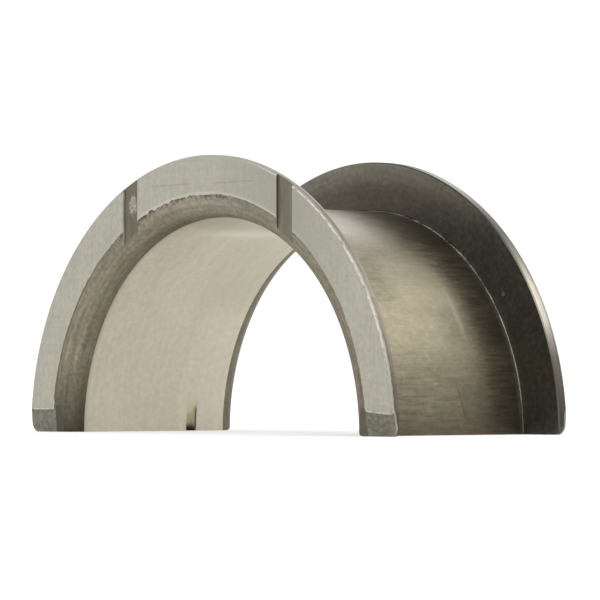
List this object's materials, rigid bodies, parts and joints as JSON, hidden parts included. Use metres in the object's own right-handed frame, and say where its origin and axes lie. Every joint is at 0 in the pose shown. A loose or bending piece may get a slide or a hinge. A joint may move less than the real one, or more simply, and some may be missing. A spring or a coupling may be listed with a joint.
{
  "type": "flanged main bearing shell",
  "caption": "Half-round plain bearing shell with a thrust flange at each end, oil grooves across the flange faces and a locating lug.",
  "frame": {"origin": "on the bearing axis, at mid-width, in the plane of the parting faces", "axes": "+Y along the bearing axis from the grooved front flange to the rear flange, +Z from the parting faces to the crown, +X towards the leg without the locating lug"},
  "size_m": [0.0914, 0.0384, 0.0457],
  "materials": {
    "shell": "ground and bored bimetal: pale satin lining on the bore and thrust faces, darker brushed steel on the back and where the lining is cut through"
  },
  "bodies": {
    "root": {"bearing_shell": "shell"}
  },
  "joints": []
}
